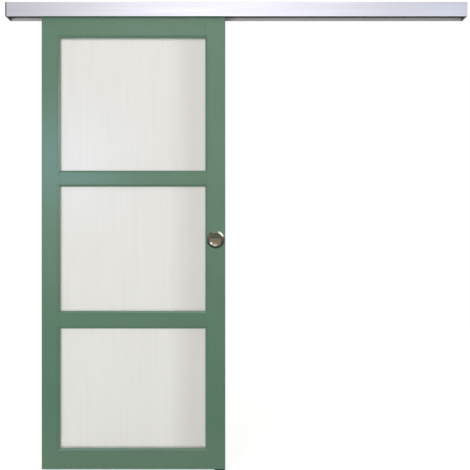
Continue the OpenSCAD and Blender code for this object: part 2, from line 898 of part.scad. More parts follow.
// Half section of a wheel: hub, recessed web and chamfered rim
module wheel_section() {
    bore_r = axle_d / 2 + axle_clear;
    rim_r = wheel_d / 2;
    tread_half = wheel_w / 2;
    web_half = tread_half - web_recess;
    rect([bore_r, -hub_len / 2], [hub_d / 2, hub_len / 2]);
    rect([bore_r, -web_half], [rim_r - rim_t / 2, web_half]);
    polygon([
        [rim_r - rim_t, -tread_half],
        [rim_r - wheel_chamfer, -tread_half],
        [rim_r, wheel_chamfer - tread_half],
        [rim_r, tread_half - wheel_chamfer],
        [rim_r - wheel_chamfer, tread_half],
        [rim_r - rim_t, tread_half]
    ]);
}

module wheel(x, row_side) {
    color(nylon_white)
        translate([x, mid_y + row_side * wheel_y, axle_z])
            rotate([90, 0, 0])
                rotate_extrude() wheel_section();
}

wall_track();
fascia();
fascia_clips();
left_end_cap();
right_end_cap();
left_stop();
right_stop();
left_buffer();
right_buffer();
stop_set_screws();
floor_guide();
left_stile();
right_stile();
for (i = [0 : 3])
    rail(rail_spans[i]);
frame_dowels();
setting_blocks();
for (i = [0 : 2])
    glass(pane_spans[i]);
for (i = [0 : 2])
    glazing_tape(pane_spans[i]);
for (i = [0 : 2])
    for (side = bead_sides)
        glazing_bead(pane_spans[i], side[1], side[2]);
front_pull();
back_pull();
hanger_plate_screws();
hanger_nuts();
for (i = [0, 1])
    hanger_plate(trolley_x[i]);
for (i = [0, 1])
    hanger_bolt(trolley_x[i]);
for (i = [0, 1])
    trolley_block(trolley_x[i]);
for (i = [0, 1])
    trolley_axles(trolley_x[i]);
for (i = [0, 1])
    for (a = [0, 1])
        for (r = [0, 1])
            wheel(trolley_x[i] + axle_sides[a] * wheelbase / 2, row_sides[r]);
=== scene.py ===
"""Dresses the sliding door: finishes, small fittings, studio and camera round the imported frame."""
import logging
import math
from collections.abc import Callable, Iterable
from dataclasses import dataclass
from enum import Enum

import bpy
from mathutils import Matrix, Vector


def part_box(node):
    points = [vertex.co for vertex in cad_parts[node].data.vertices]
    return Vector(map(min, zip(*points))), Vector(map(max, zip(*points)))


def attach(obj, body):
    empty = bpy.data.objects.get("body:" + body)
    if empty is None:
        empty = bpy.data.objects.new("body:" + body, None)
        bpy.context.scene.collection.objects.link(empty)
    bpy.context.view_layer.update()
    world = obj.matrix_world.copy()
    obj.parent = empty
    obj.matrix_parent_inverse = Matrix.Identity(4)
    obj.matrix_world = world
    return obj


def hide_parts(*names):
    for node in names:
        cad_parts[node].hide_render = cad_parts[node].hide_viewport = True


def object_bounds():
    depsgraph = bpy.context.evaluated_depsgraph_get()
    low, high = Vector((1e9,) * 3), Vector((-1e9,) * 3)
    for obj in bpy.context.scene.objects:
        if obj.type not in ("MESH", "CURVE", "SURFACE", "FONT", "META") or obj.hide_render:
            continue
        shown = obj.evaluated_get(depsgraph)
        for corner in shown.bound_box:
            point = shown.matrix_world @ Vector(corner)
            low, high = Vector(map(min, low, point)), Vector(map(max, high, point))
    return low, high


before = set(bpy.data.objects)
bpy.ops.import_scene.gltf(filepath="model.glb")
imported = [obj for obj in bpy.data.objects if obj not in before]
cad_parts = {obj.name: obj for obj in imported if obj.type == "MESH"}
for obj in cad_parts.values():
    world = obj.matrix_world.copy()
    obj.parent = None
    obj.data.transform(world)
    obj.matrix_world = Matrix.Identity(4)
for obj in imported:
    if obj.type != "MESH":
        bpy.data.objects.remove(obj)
CAD_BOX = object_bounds()

LOG = logging.getLogger("sliding_door")
MM = 0.001
PANES = ("upper", "middle", "lower")
SIDES = ("left", "right", "head", "sill")
HANDS = ("left", "right")
STILES = ("left_stile", "right_stile")
RAILS = ("top_rail", "upper_mid_rail", "lower_mid_rail", "bottom_rail")
WHEELS = ("1_front", "1_back", "2_front", "2_back")
SMOOTH_BELOW = math.radians(35)
HARD_FROM = math.radians(40)
WELD_MM = 0.001
SOFT_EDGE_SEGMENTS = 2
FACES_DOWN = -0.9
PULL_POINT = (-0.093, -0.056, -1.036)


class Run(Enum):
    """The way that grain, brush lines or streaks run, as the axis of the pattern's long side."""

    ALONG_WALL = 0
    UPRIGHT = 2


class Task(Enum):
    """What a lamp is there for: to light matt surfaces, or to be mirrored by shiny ones."""

    LIGHT = "light"
    MIRROR = "mirror"


def linear(code: str) -> tuple[float, float, float, float]:
    """Turns an sRGB hex colour to linear light.

    Args:
        code: Colour such as "#688670".

    Returns:
        Linear red, green, blue and an alpha of 1.
    """
    parts = [int(code[i : i + 2], 16) / 255 for i in (1, 3, 5)]
    curve = [p / 12.92 if p <= 0.04045 else ((p + 0.055) / 1.055) ** 2.4 for p in parts]
    return (*curve, 1.0)


def per_metre(across_mm: float, along_mm: float, run: Run) -> tuple[float, float, float]:
    """Works out the scale of a pattern from the real size of its marks.

    Args:
        across_mm: Width of a mark.
        along_mm: Length of a mark.
        run: The way that the marks run.

    Returns:
        Repeats per metre along X, Y and Z.
    """
    scale = [1 / (across_mm * MM)] * 3
    scale[run.value] = 1 / (along_mm * MM)
    return tuple(scale)


def add_node(
    tree: bpy.types.NodeTree, kind: str, settings: dict | None = None, links: dict | None = None
) -> bpy.types.Node:
    """Adds one shader node.

    Args:
        tree: Node tree that takes the node.
        kind: Blender's name of the node's type.
        settings: Attributes, or input names or numbers, with their values.
        links: Input names or numbers, with the output sockets that feed them.

    Returns:
        The new node.
    """
    node = tree.nodes.new(kind)
    for key, value in (settings or {}).items():
        if isinstance(key, str) and hasattr(node, key):
            setattr(node, key, value)
        else:
            node.inputs[key].default_value = value
    for key, socket in (links or {}).items():
        tree.links.new(socket, node.inputs[key])
    return node


def blank_material(name: str) -> tuple[bpy.types.Material, bpy.types.NodeTree]:
    """Makes a material with an empty node tree.

    Args:
        name: Name of the material.

    Returns:
        The material and its tree.
    """
    material = bpy.data.materials.new(name)
    material.use_nodes = True
    material.node_tree.nodes.clear()
    return material, material.node_tree


@dataclass(frozen=True)
class SatinPaint:
    """Satin enamel sprayed on sanded wood: a broad soft sheen, the grain just telling through."""

    name: str
    run: Run
    colour: str = "#62866d"
    shade: str = "#5e8269"
    tone_span: tuple[float, float] = (0.12, 0.40)
    roughness: float = 0.29
    sheen_change: tuple[float, float] = (-0.014, 0.025)
    ior: float = 1.5
    grain_mm: tuple[float, float] = (5.0, 260.0)
    grain_share: float = 0.6
    cloud_mm: float = 180.0
    cloud_span: tuple[float, float] = (0.25, 0.75)
    peel_mm: float = 2.2
    peel_height_mm: float = 0.02
    peel_strength: float = 0.5

    def material(self) -> bpy.types.Material:
        """Builds the node material.

        Returns:
            The material.
        """
        material, tree = blank_material(self.name)
        place = add_node(tree, "ShaderNodeTexCoord").outputs["Object"]
        stretch = add_node(
            tree,
            "ShaderNodeMapping",
            {"Scale": per_metre(*self.grain_mm, self.run)},
            {"Vector": place},
        )
        grain = add_node(
            tree,
            "ShaderNodeTexNoise",
            {"Scale": 1.0, "Detail": 3.0},
            {"Vector": stretch.outputs["Vector"]},
        )
        cloud = add_node(
            tree,
            "ShaderNodeTexNoise",
            {"Scale": 1 / (self.cloud_mm * MM), "Detail": 2.0},
            {"Vector": place},
        )
        # The grain and slow clouds of film thickness share the small change of tone.
        tone = add_node(
            tree,
            "ShaderNodeMath",
            {"operation": "MULTIPLY"},
            {0: grain.outputs["Fac"], 1: cloud.outputs["Fac"]},
        )
        spread = add_node(
            tree,
            "ShaderNodeMapRange",
            {"From Min": self.tone_span[0], "From Max": self.tone_span[1]},
            {"Value": tone.outputs["Value"]},
        )
        paint = add_node(
            tree,
            "ShaderNodeMix",
            {"data_type": "RGBA", 6: linear(self.shade), 7: linear(self.colour)},
            {0: spread.outputs["Result"]},
        )
        # Orange peel of the sprayed film, drawn coarser than the real half millimetre to show.
        peel = add_node(
            tree,
            "ShaderNodeTexNoise",
            {"Scale": 1 / (self.peel_mm * MM), "Detail": 1.0},
            {"Vector": place},
        )
        height = add_node(
            tree,
            "ShaderNodeMath",
            {"operation": "MULTIPLY_ADD", 1: self.grain_share},
            {0: grain.outputs["Fac"], 2: peel.outputs["Fac"]},
        )
        bump = add_node(
            tree,
            "ShaderNodeBump",
            {"Strength": self.peel_strength, "Distance": self.peel_height_mm * MM},
            {"Height": height.outputs["Value"]},
        )
        # The sheen drifts a little with the thickness of the film.
        sheen = add_node(
            tree,
            "ShaderNodeMapRange",
            {
                "From Min": self.cloud_span[0],
                "From Max": self.cloud_span[1],
                "To Min": self.roughness + self.sheen_change[0],
                "To Max": self.roughness + self.sheen_change[1],
            },
            {"Value": cloud.outputs["Fac"]},
        )
        shader = add_node(
            tree,
            "ShaderNodeBsdfPrincipled",
            {"IOR": self.ior},
            {
                "Base Color": paint.outputs[2],
                "Roughness": sheen.outputs["Result"],
                "Normal": bump.outputs["Normal"],
            },
        )
        add_node(tree, "ShaderNodeOutputMaterial", {}, {"Surface": shader.outputs["BSDF"]})
        return material


@dataclass(frozen=True)
class FrostedGlass:
    """Float glass etched on one face: milky, lit from both sides, with faint upright lines."""

    name: str = "frosted_float_glass"
    clear: str = "#fbf9f4"
    streak: str = "#f5f3ee"
    # Colour of the painted shade towards the stile with the pulls.
    pull_side_shade: str = "#e9e6e1"
    roughness: float = 0.3
    ior: float = 1.52
    transmission: float = 0.7
    streak_mm: tuple[float, float] = (7.0, 300.0)
    streak_span: tuple[float, float] = (0.35, 0.65)
    shade_from_mm: float = -330.0
    shade_to_mm: float = -185.0
    etch_mm: float = 1.5
    etch_height_mm: float = 0.03
    etch_strength: float = 0.25

    def material(self) -> bpy.types.Material:
        """Builds the node material.

        Returns:
            The material.
        """
        material, tree = blank_material(self.name)
        place = add_node(tree, "ShaderNodeTexCoord").outputs["Object"]
        stretch = add_node(
            tree,
            "ShaderNodeMapping",
            {"Scale": per_metre(*self.streak_mm, Run.UPRIGHT)},
            {"Vector": place},
        )
        lines = add_node(
            tree,
            "ShaderNodeTexNoise",
            {"Scale": 1.0, "Detail": 4.0},
            {"Vector": stretch.outputs["Vector"]},
        )
        spread = add_node(
            tree,
            "ShaderNodeMapRange",
            {"From Min": self.streak_span[0], "From Max": self.streak_span[1]},
            {"Value": lines.outputs["Fac"]},
        )
        tint = add_node(
            tree,
            "ShaderNodeMix",
            {"data_type": "RGBA", 6: linear(self.streak), 7: linear(self.clear)},
            {0: spread.outputs["Result"]},
        )
        # Painted shade: the pane darkens towards the stile with the pulls.
        across = add_node(tree, "ShaderNodeSeparateXYZ", {}, {"Vector": place})
        pull_side_shade = add_node(
            tree,
            "ShaderNodeMapRange",
            {
                "interpolation_type": "SMOOTHSTEP",
                "From Min": self.shade_from_mm * MM,
                "From Max": self.shade_to_mm * MM,
            },
            {"Value": across.outputs["X"]},
        )
        body = add_node(
            tree,
            "ShaderNodeMix",
            {"data_type": "RGBA", 7: linear(self.pull_side_shade)},
            {0: pull_side_shade.outputs["Result"], 6: tint.outputs[2]},
        )
        # The bite of the acid, far finer on the real pane and drawn coarser to show.
        etch = add_node(
            tree,
            "ShaderNodeTexNoise",
            {"Scale": 1 / (self.etch_mm * MM), "Detail": 2.0},
            {"Vector": place},
        )
        bump = add_node(
            tree,
            "ShaderNodeBump",
            {"Strength": self.etch_strength, "Distance": self.etch_height_mm * MM},
            {"Height": etch.outputs["Fac"]},
        )
        shader = add_node(
            tree,
            "ShaderNodeBsdfPrincipled",
            {
                "IOR": self.ior,
                "Roughness": self.roughness,
                "Transmission Weight": self.transmission,
            },
            {"Base Color": body.outputs[2], "Normal": bump.outputs["Normal"]},
        )
        add_node(tree, "ShaderNodeOutputMaterial", {}, {"Surface": shader.outputs["BSDF"]})
        return material


class Finish:
    """What the metal and moulded finishes share."""

    def add_painted_shade(
        self, tree: bpy.types.NodeTree, place: bpy.types.NodeSocket, tint: bpy.types.NodeSocket
    ) -> bpy.types.NodeSocket:
        """Returns the colour of the surface as it is, with no painted shade."""
        return tint


@dataclass(frozen=True)
class BrushedMetal(Finish):
    """Drawn or brushed metal: fine lines along one way stretch its reflections across them."""

    name: str
    colour: str
    line_colour: str
    run: Run
    roughness: float = 0.34
    anisotropy: float = 0.5
    metallic: float = 1.0
    line_mm: tuple[float, float] = (1.6, 420.0)
    line_span: tuple[float, float] = (0.3, 0.7)
    line_height_mm: float = 0.015
    line_strength: float = 0.3
    sheen_change: tuple[float, float] = (0.06, -0.05)

    def material(self) -> bpy.types.Material:
        """Builds the node material.

        Returns:
            The material.
        """
        material, tree = blank_material(self.name)
        place = add_node(tree, "ShaderNodeTexCoord").outputs["Object"]
        stretch = add_node(
            tree,
            "ShaderNodeMapping",
            {"Scale": per_metre(*self.line_mm, self.run)},
            {"Vector": place},
        )
        # Brush lines are a tenth of a millimetre wide on the real sheet, drawn coarser to show.
        lines = add_node(
            tree,
            "ShaderNodeTexNoise",
            {"Scale": 1.0, "Detail": 5.0},
            {"Vector": stretch.outputs["Vector"]},
        )
        spread = add_node(
            tree,
            "ShaderNodeMapRange",
            {"From Min": self.line_span[0], "From Max": self.line_span[1]},
            {"Value": lines.outputs["Fac"]},
        )
        tint = add_node(
            tree,
            "ShaderNodeMix",
            {"data_type": "RGBA", 6: linear(self.line_colour), 7: linear(self.colour)},
            {0: spread.outputs["Result"]},
        )
        sheen = add_node(
            tree,
            "ShaderNodeMapRange",
            {
                "To Min": self.roughness + self.sheen_change[0],
                "To Max": self.roughness + self.sheen_change[1],
            },
            {"Value": spread.outputs["Result"]},
        )
        bump = add_node(
            tree,
            "ShaderNodeBump",
            {"Strength": self.line_strength, "Distance": self.line_height_mm * MM},
            {"Height": lines.outputs["Fac"]},
        )
        shader = add_node(
            tree,
            "ShaderNodeBsdfPrincipled",
            {"Metallic": self.metallic, "Anisotropic": self.anisotropy},
            {
                "Base Color": self.add_painted_shade(tree, place, tint.outputs[2]),
                "Roughness": sheen.outputs["Result"],
                "Normal": bump.outputs["Normal"],
            },
        )
        add_node(tree, "ShaderNodeOutputMaterial", {}, {"Surface": shader.outputs["BSDF"]})
        return material


@dataclass(frozen=True)
class ChannelShadedMetal(BrushedMetal):
    """Extruded metal with painted shade inside its channel, where the wheels run: a dark colour
    standing in for the shadow there.

    Each edge of the painted shade names an axis, where along it the metal is unshaded and where
    the painted shade is full.
    """

    # Colour of the painted shade, which stands in for the shadow inside the channel.
    channel_shade: str = "#5c5658"
    edges_mm: tuple[tuple[str, float, float], ...] = (
        ("Z", -18.0, -14.5),
        ("Z", 14.0, 12.5),
        ("Y", -1.0, -2.8),
    )

    def add_painted_shade(
        self, tree: bpy.types.NodeTree, place: bpy.types.NodeSocket, tint: bpy.types.NodeSocket
    ) -> bpy.types.NodeSocket:
        """Darkens the metal inside the edges of the painted shade, which stands in for the channel's
        shadow.

        Args:
            tree: Node tree that takes the nodes.
            place: Socket of the place on the metal.
            tint: Socket of the colour of the unshaded metal.

        Returns:
            The output socket of the colour.
        """
        parts = add_node(tree, "ShaderNodeSeparateXYZ", {}, {"Vector": place})
        covers = []
        for axis, clean, full in self.edges_mm:
            cover = add_node(
                tree,
                "ShaderNodeMapRange",
                {"From Min": clean * MM, "From Max": full * MM},
                {"Value": parts.outputs[axis]},
            )
            covers.append(cover.outputs["Result"])
        inside = covers[0]
        for cover in covers[1:]:
            both = add_node(
                tree, "ShaderNodeMath", {"operation": "MULTIPLY"}, {0: inside, 1: cover}
            )
            inside = both.outputs["Value"]
        # Painted shade: the dark colour stands in for the shadow inside the channel.
        shaded_channel = add_node(
            tree,
            "ShaderNodeMix",
            {"data_type": "RGBA", 7: linear(self.channel_shade)},
            {0: inside, 6: tint},
        )
        return shaded_channel.outputs[2]


@dataclass(frozen=True)
class Speckled(Finish):
    """A moulded, cast, plated or bare surface: a tone that drifts, and a fine even texture."""

    name: str
    colour: str
    shade: str
    roughness: float
    metallic: float = 0.0
    drift_mm: float = 20.0
    grit_mm: float = 0.8
    grit_height_mm: float = 0.02
    grit_strength: float = 0.3
    sheen_times: tuple[float, float] = (0.85, 1.15)

    def material(self) -> bpy.types.Material:
        """Builds the node material.

        Returns:
            The material.
        """
        material, tree = blank_material(self.name)
        place = add_node(tree, "ShaderNodeTexCoord").outputs["Object"]
        drift = add_node(
            tree,
            "ShaderNodeTexNoise",
            {"Scale": 1 / (self.drift_mm * MM), "Detail": 3.0},
            {"Vector": place},
        )
        tint = add_node(
            tree,
            "ShaderNodeMix",
            {"data_type": "RGBA", 6: linear(self.shade), 7: linear(self.colour)},
            {0: drift.outputs["Fac"]},
        )
        grit = add_node(
            tree,
            "ShaderNodeTexNoise",
            {"Scale": 1 / (self.grit_mm * MM), "Detail": 2.0},
            {"Vector": place},
        )
        sheen = add_node(
            tree,
            "ShaderNodeMapRange",
            {
                "To Min": self.roughness * self.sheen_times[0],
                "To Max": self.roughness * self.sheen_times[1],
            },
            {"Value": drift.outputs["Fac"]},
        )
        bump = add_node(
            tree,
            "ShaderNodeBump",
            {"Strength": self.grit_strength, "Distance": self.grit_height_mm * MM},
            {"Height": grit.outputs["Fac"]},
        )
        shader = add_node(
            tree,
            "ShaderNodeBsdfPrincipled",
            {"Metallic": self.metallic},
            {
                "Base Color": self.add_painted_shade(tree, place, tint.outputs[2]),
                "Roughness": sheen.outputs["Result"],
                "Normal": bump.outputs["Normal"],
            },
        )
        add_node(tree, "ShaderNodeOutputMaterial", {}, {"Surface": shader.outputs["BSDF"]})
        return material


@dataclass(frozen=True)
class RimShadedMetal(Speckled):
    """Polished metal round an axis through the leaf, with painted shade darkening it outside the
    cup.
    """

    # Colour of the painted shade on the rim, standing in for the dark surroundings that it mirrors.
    rim_shade: str = "#50524a"
    axis: tuple[float, float] = (0.0, 0.0)
    bright_to_mm: float = 31.5
    dark_from_mm: float = 33.0

    def add_painted_shade(
        self, tree: bpy.types.NodeTree, place: bpy.types.NodeSocket, tint: bpy.types.NodeSocket
    ) -> bpy.types.NodeSocket:
        """Darkens the metal outwards from the axis: painted shade on the rim, standing in for the
        dark surroundings that it mirrors.

        Args:
            tree: Node tree that takes the nodes.
            place: Socket of the place on the metal.
            tint: Socket of the colour of the unshaded metal.

        Returns:
            The output socket of the colour.
        """
        offset = add_node(
            tree,
            "ShaderNodeMapping",
            {"Location": (-self.axis[0], 0.0, -self.axis[1]), "Scale": (1.0, 0.0, 1.0)},
            {"Vector": place},
        )
        radius = add_node(
            tree, "ShaderNodeVectorMath", {"operation": "LENGTH"}, {0: offset.outputs["Vector"]}
        )
        dark = add_node(
            tree,
            "ShaderNodeMapRange",
            {"From Min": self.bright_to_mm * MM, "From Max": self.dark_from_mm * MM},
            {"Value": radius.outputs["Value"]},
        )
        # Painted shade: the darker rim stands in for the dark surroundings that it mirrors.
        shaded_rim = add_node(
            tree,
            "ShaderNodeMix",
            {"data_type": "RGBA", 7: linear(self.rim_shade)},
            {0: dark.outputs["Result"], 6: tint},
        )
        return shaded_rim.outputs[2]


PAINT_UPRIGHT = SatinPaint("satin_paint_upright", Run.UPRIGHT)
PAINT_LEVEL = SatinPaint("satin_paint_level", Run.ALONG_WALL)
GLASS = FrostedGlass()
FASCIA_METAL = BrushedMetal("brushed_anodised_aluminium", "#cac9d0", "#bfbec6", Run.ALONG_WALL)
# The track's channel carries painted shade in place of its shadow.
TRACK_METAL = ChannelShadedMetal(
    "mill_finish_aluminium",
    "#f8f2f6",
    "#ece6ea",
    Run.ALONG_WALL,
    roughness=0.6,
    anisotropy=0.1,
    metallic=0.15,
)
CAP_PLASTIC = Speckled("moulded_dark_grey_abs", "#5f5b61", "#565258", 0.45)
CLIP_PLASTIC = Speckled("moulded_grey_acetal", "#8c8c90", "#828287", 0.45)
ZINC = Speckled(
    "die_cast_zinc",
    "#a5a8ab",
    "#94979a",
    0.42,
    metallic=1.0,
    drift_mm=12.0,
    grit_mm=0.9,
    grit_height_mm=0.04,
)
STEEL = Speckled(
    "zinc_plated_steel",
    "#c5c8c9",
    "#b0b5b8",
    0.28,
    metallic=1.0,
    drift_mm=9.0,
    grit_mm=0.6,
    grit_height_mm=0.01,
)
NYLON = Speckled("moulded_nylon", "#e4e2d8", "#d9d7cc", 0.40)
RUBBER = Speckled("moulded_rubber", "#262626", "#1e1e1e", 0.70)
GLAZING_TAPE = Speckled("white_glazing_tape", "#e4e2db", "#dad8d0", 0.70)
BEECH = Speckled("bare_beech", "#c9a877", "#b9966a", 0.65)


def dress(material: bpy.types.Material, nodes: Iterable[str]) -> None:
    """Gives CAD nodes one material and reports them.

    Args:
        material: The material.
        nodes: Names of the CAD nodes.
    """
    for name in nodes:
        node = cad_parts[name]
        node.data.materials.clear()
        node.data.materials.append(material)
        LOG.info("%s wears %s", name, material.name)


def soften(nodes: Iterable[str], width_mm: float) -> None:
    """Rounds the hard edges of CAD nodes with live modifiers, which leave the meshes as they are.

    Args:
        nodes: Names of the CAD nodes.
        width_mm: Width of the rounding.
    """
    for name in nodes:
        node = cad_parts[name]
        weld = node.modifiers.new("weld", "WELD")
        weld.merge_threshold = WELD_MM * MM
        bevel = node.modifiers.new("soft_edge", "BEVEL")
        bevel.width = width_mm * MM
        bevel.segments = SOFT_EDGE_SEGMENTS
        bevel.limit_method = "ANGLE"
        bevel.angle_limit = HARD_FROM


def start_piece() -> None:
    """Leaves edit mode and deselects everything, so that the next operator acts on one piece."""
    if bpy.context.object and bpy.context.object.mode != "OBJECT":
        bpy.ops.object.mode_set(mode="OBJECT")
    bpy.ops.object.select_all(action="DESELECT")


def pick_faces(wanted: Callable[[bpy.types.MeshPolygon], bool]) -> None:
    """Selects faces of the piece that is being edited, and stays in edit mode.

    Args:
        wanted: Says whether a face is picked, from its centre or normal.
    """
    bpy.ops.mesh.select_mode(type="FACE")
    bpy.ops.mesh.select_all(action="DESELECT")
    bpy.ops.object.mode_set(mode="OBJECT")
    for face in bpy.context.object.data.polygons:
        face.select = wanted(face)
    bpy.ops.object.mode_set(mode="EDIT")


def settle(
    piece: bpy.types.Object, name: str, body: str, material: bpy.types.Material
) -> None:
    """Puts a finished piece's place into its mesh and hands it to its body.

    Args:
        piece: The finished piece, the only one selected.
        name: Name of the piece.
        body: Body that carries it.
        material: Its material.
    """
    bpy.ops.object.transform_apply(location=True, rotation=True, scale=True)
    bpy.ops.object.shade_smooth_by_angle(angle=SMOOTH_BELOW)
    piece.name = name
    piece.data.name = name
    piece.data.materials.clear()
    piece.data.materials.append(material)
    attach(piece, body)
    LOG.info("%s is modelled", name)


def copy_of(piece: bpy.types.Object, shift: Vector) -> bpy.types.Object:
    """Copies a modelled piece, with a mesh of its own.

    Args:
        piece: The piece to copy.
        shift: Way from the piece to its copy.

    Returns:
        The copy, selected alone.
    """
    start_piece()
    piece.select_set(True)
    bpy.context.view_layer.objects.active = piece
    bpy.ops.object.duplicate(linked=False)
    bpy.ops.transform.translate(value=shift)
    return bpy.context.object


@dataclass
class Leaf:
    """The painted frame of the leaf with its glass and beads."""

    bead_edge_mm: float = 0.5
    bead_flat_mm: float = 2.5
    pin_d_mm: float = 1.9
    pin_sides: int = 12
    pin_dome_mm: float = 0.12
    pin_rim_share: float = 0.25
    pin_dimple_share: float = 0.3
    pin_dimple_mm: float = 0.15
    pin_pitch_mm: float = 160.0
    pin_end_mm: float = 45.0

    def model_pin(self) -> bpy.types.Object:
        """Models the head of a bead pin at the origin: a low disc with a rim and a dimple.

        Returns:
            The pin head, facing away from the wall.
        """
        start_piece()
        radius = self.pin_d_mm / 2 * MM
        bpy.ops.mesh.primitive_circle_add(
            vertices=self.pin_sides,
            radius=radius,
            fill_type="NGON",
            rotation=(math.pi / 2, 0, 0),
        )
        bpy.ops.object.transform_apply(rotation=True)
        bpy.ops.object.mode_set(mode="EDIT")
        bpy.ops.mesh.select_all(action="SELECT")
        rise = (0, -self.pin_dome_mm * MM, 0)
        bpy.ops.mesh.extrude_region_move(TRANSFORM_OT_translate={"value": rise})
        bpy.ops.mesh.inset(thickness=radius * self.pin_rim_share)
        dimple = radius * self.pin_dimple_share
        bpy.ops.mesh.inset(thickness=dimple, depth=-self.pin_dimple_mm * MM)
        bpy.ops.mesh.select_all(action="SELECT")
        bpy.ops.mesh.normals_make_consistent(inside=False)
        bpy.ops.object.mode_set(mode="OBJECT")
        return bpy.context.object

    def bead_pins(self, pane: str, side: str) -> list[Vector]:
        """Works out where the pins of a bead are, evenly along the flat front of the bead.

        Args:
            pane: Name of the pane.
            side: Side of the pane.

        Returns:
            Places of the pin heads.
        """
        low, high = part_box(f"{pane}_bead_{side}")
        axis = 0 if side in ("head", "sill") else 2
        across = 2 - axis
        outer = low[across] if side in ("left", "sill") else high[across]
        inward = 1 if side in ("left", "sill") else -1
        start, end = low[axis] + self.pin_end_mm * MM, high[axis] - self.pin_end_mm * MM
        count = max(2, round((end - start) / (self.pin_pitch_mm * MM)) + 1)
        places = []
        for i in range(count):
            place = Vector((0.0, low.y, 0.0))
            place[axis] = start + (end - start) * i / (count - 1)
            place[across] = outer + inward * self.bead_flat_mm / 2 * MM
            places.append(place)
        return places

    def pin_beads(self, material: bpy.types.Material) -> None:
        """Sets the painted pin heads in the beads, one piece for each bead.

        Args:
            material: Paint of the pins.
        """
        master = self.model_pin()
        for pane in PANES:
            for side in SIDES:
                pins = [copy_of(master, place) for place in self.bead_pins(pane, side)]
                start_piece()
                for pin in pins:
                    pin.select_set(True)
                bpy.context.view_layer.objects.active = pins[0]
                bpy.ops.object.join()
                name = f"{pane}_bead_{side}_pins"
                settle(pins[0], name, "leaf", material)
        bpy.data.objects.remove(master)

    def build(self) -> None:
        """Dresses the wood, the glass and what lies behind it."""
        upright = PAINT_UPRIGHT.material()
        level = PAINT_LEVEL.material()
        self.pin_beads(level)
        dress(upright, STILES)
        dress(level, RAILS)
        for pane in PANES:
            dress(upright, [f"{pane}_bead_left", f"{pane}_bead_right"])
            dress(level, [f"{pane}_bead_head", f"{pane}_bead_sill"])
            soften([f"{pane}_bead_{side}" for side in SIDES], self.bead_edge_mm)
        dress(GLASS.material(), [f"{pane}_glass" for pane in PANES])
        tapes = [f"{pane}_glazing_tape" for pane in PANES]
        dress(GLAZING_TAPE.material(), [*tapes, "setting_blocks"])
        dress(BEECH.material(), ["frame_dowels"])


@dataclass
class Track:
    """The wall track with its fascia, caps, stops and the floor guide."""

    def build(self) -> None:
        """Dresses the fixed pieces."""
        dress(FASCIA_METAL.material(), ["fascia"])
        dress(TRACK_METAL.material(), ["wall_track"])
        dress(CAP_PLASTIC.material(), ["left_end_cap", "right_end_cap", "floor_guide"])
        dress(CLIP_PLASTIC.material(), ["fascia_clips"])
        dress(ZINC.material(), ["left_stop", "right_stop"])
        dress(RUBBER.material(), ["left_buffer", "right_buffer"])
        dress(STEEL.material(), ["stop_set_screws"])


